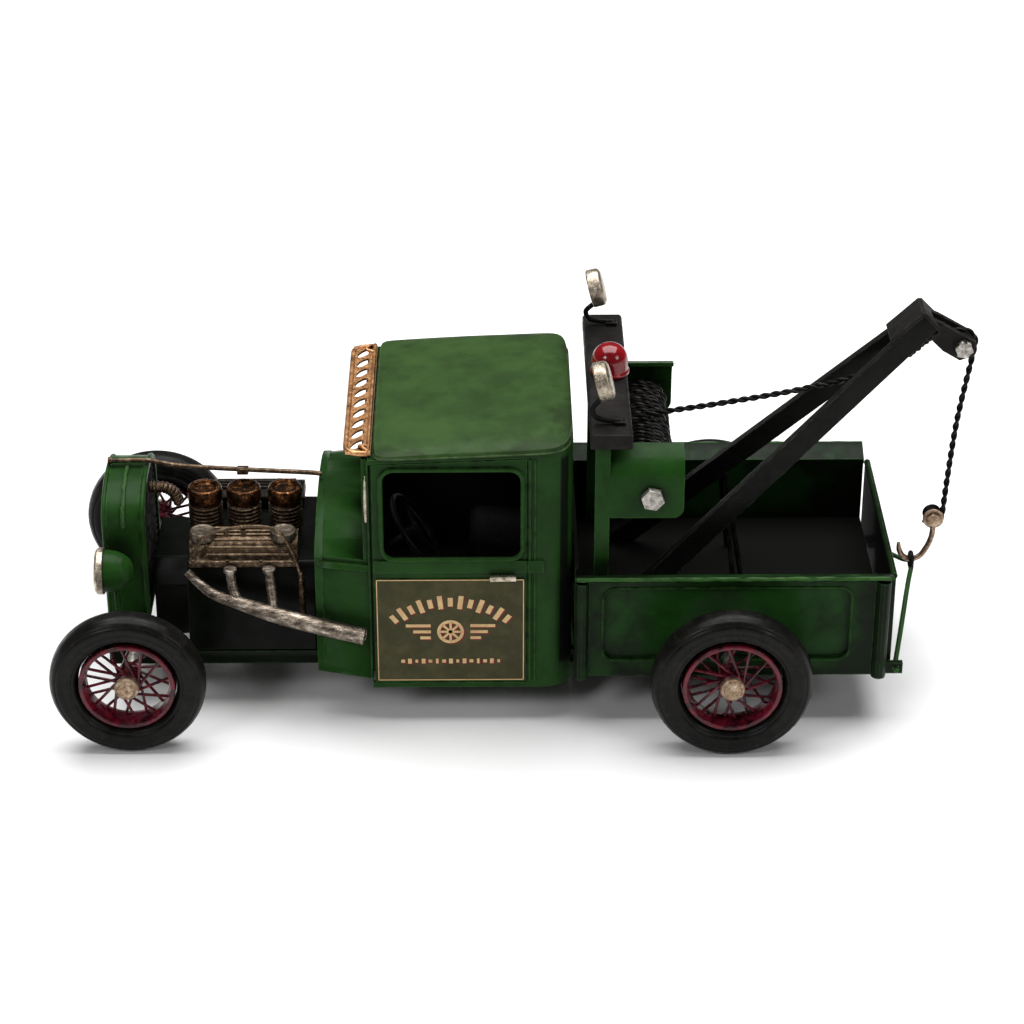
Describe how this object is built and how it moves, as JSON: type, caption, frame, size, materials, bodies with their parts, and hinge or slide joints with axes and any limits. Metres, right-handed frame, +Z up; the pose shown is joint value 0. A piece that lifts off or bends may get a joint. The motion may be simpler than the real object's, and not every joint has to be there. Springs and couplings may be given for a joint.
{
  "type": "toy tow truck",
  "caption": "Sheet-metal toy tow truck with wire wheels, exposed engine, closed cab, open bed, winch, sloping boom and a hooked rope holding a towing frame.",
  "frame": {"origin": "bottom centre of the bounding box, on the ground the tyres stand on", "axes": "+X to the truck's front, +Y to its left side, +Z up"},
  "size_m": [0.3164, 0.136, 0.1391],
  "materials": {
    "tyre_rubber": "satin black with concentric sidewall ridges",
    "crimson_enamel": "dark crimson gloss with black worn edges",
    "worn_cap": "worn tan-silver",
    "bare_steel": "plain steel",
    "green_enamel": "dark glossy green, brushed black towards edges and recesses",
    "copper_finish": "smoked copper",
    "dark_seat": "plain dark",
    "black_plastic": "dark, slightly glossy",
    "smoked_block": "smoky black-green",
    "bronze_metal": "antique bronze and pewter wash",
    "pewter_metal": "brushed pewter",
    "black_core": "flat black",
    "pink_grille": "worn red-pink",
    "black_enamel": "black satin enamel",
    "red_lens": "glossy red"
  },
  "bodies": {
    "truck": {"front_axle": "bare_steel", "rear_axle": "bare_steel", "winch_bolt": "bare_steel", "chassis_frame": "green_enamel", "cab_body": "green_enamel", "cab_roof": "green_enamel", "cowl": "green_enamel", "windshield_frame": "green_enamel", "radiator_shell": "green_enamel", "headlight_left": "green_enamel", "headlight_right": "green_enamel", "bed_tray": "green_enamel", "bed_side_left": "green_enamel", "bed_side_right": "green_enamel", "tailgate": "green_enamel", "winch_frame_left": "green_enamel", "winch_frame_right": "green_enamel", "sun_visor": "copper_finish", "intake_stack_front": "copper_finish", "intake_stack_middle": "copper_finish", "intake_stack_rear": "copper_finish", "bench_seat": "dark_seat", "engine_block": "smoked_block", "valve_cover_left": "bronze_metal", "valve_cover_right": "bronze_metal", "fuel_line": "bronze_metal", "stay_rod": "bronze_metal", "hook": "bronze_metal", "exhaust_left": "pewter_metal", "exhaust_right": "pewter_metal", "radiator_hose": "pewter_metal", "spot_lamp_left": "pewter_metal", "spot_lamp_right": "pewter_metal", "radiator_core": "black_core", "grille": "pink_grille", "light_bar": "black_enamel", "boom_left": "black_enamel", "boom_right": "black_enamel", "boom_head": "black_enamel", "winch_rope": "black_enamel", "beacon": "red_lens"},
    "wheel_front_left": {"tyre_front_left": "tyre_rubber", "wire_wheel_front_left": "crimson_enamel", "hub_cap_front_left": "worn_cap"},
    "wheel_front_right": {"tyre_front_right": "tyre_rubber", "wire_wheel_front_right": "crimson_enamel", "hub_cap_front_right": "worn_cap"},
    "wheel_rear_left": {"tyre_rear_left": "tyre_rubber", "wire_wheel_rear_left": "crimson_enamel", "hub_cap_rear_left": "worn_cap"},
    "wheel_rear_right": {"tyre_rear_right": "tyre_rubber", "wire_wheel_rear_right": "crimson_enamel", "hub_cap_rear_right": "worn_cap"},
    "drum": {"winch_drum": "black_enamel"},
    "boom_sheave": {"tip_sheave": "black_enamel"},
    "hook_sheave": {"block_sheave": "black_enamel"},
    "towing_frame": {"tow_frame": "green_enamel"},
    "left_door": {"door_left": "green_enamel"},
    "right_door": {"door_right": "green_enamel"},
    "steering": {"steering_wheel": "black_plastic"}
  },
  "joints": [
    {"name": "wheel_front_left_spin", "type": "hinge", "parent": "truck", "child": "wheel_front_left", "pos_m": [0.13165, 0.0574, 0.0266], "axis": [0, 1, 0], "continuous": true},
    {"name": "wheel_front_right_spin", "type": "hinge", "parent": "truck", "child": "wheel_front_right", "pos_m": [0.13165, -0.0574, 0.0266], "axis": [0, 1, 0], "continuous": true},
    {"name": "wheel_rear_left_spin", "type": "hinge", "parent": "truck", "child": "wheel_rear_left", "pos_m": [-0.07335, 0.0612, 0.0275], "axis": [0, 1, 0], "continuous": true},
    {"name": "wheel_rear_right_spin", "type": "hinge", "parent": "truck", "child": "wheel_rear_right", "pos_m": [-0.07335, -0.0612, 0.0275], "axis": [0, 1, 0], "continuous": true},
    {"name": "winch_drum_spin", "type": "hinge", "parent": "truck", "child": "drum", "pos_m": [-0.04615, 0, 0.0877], "axis": [0, 1, 0], "continuous": true},
    {"name": "boom_sheave_spin", "type": "hinge", "parent": "truck", "child": "boom_sheave", "pos_m": [-0.15285, 0, 0.1253], "axis": [0, 1, 0], "continuous": true},
    {"name": "hook_sheave_spin", "type": "hinge", "parent": "truck", "child": "hook_sheave", "pos_m": [-0.14745, 0, 0.0578], "axis": [0, 1, 0], "continuous": true},
    {"name": "towing_frame_pivot", "type": "hinge", "parent": "truck", "child": "towing_frame", "pos_m": [-0.13155, 0, 0.0218], "axis": [0, 1, 0], "range_deg": [-1, 1]},
    {"name": "left_door_hinge", "type": "hinge", "parent": "truck", "child": "left_door", "pos_m": [0.04805, 0.0433, 0.06], "axis": [0, 0, -1], "range_deg": [0, 65]},
    {"name": "right_door_hinge", "type": "hinge", "parent": "truck", "child": "right_door", "pos_m": [0.04805, -0.0433, 0.06], "axis": [0, 0, 1], "range_deg": [0, 65]},
    {"name": "steering_wheel_turn", "type": "hinge", "parent": "truck", "child": "steering", "pos_m": [0.03415, 0.018, 0.063], "axis": [0.8139, 0, -0.581], "range_deg": [-180, 180]}
  ],
  "couplings": [
    {"joint": "boom_sheave_spin", "follows": "winch_drum_spin", "ratio": 2.1957}
  ]
}
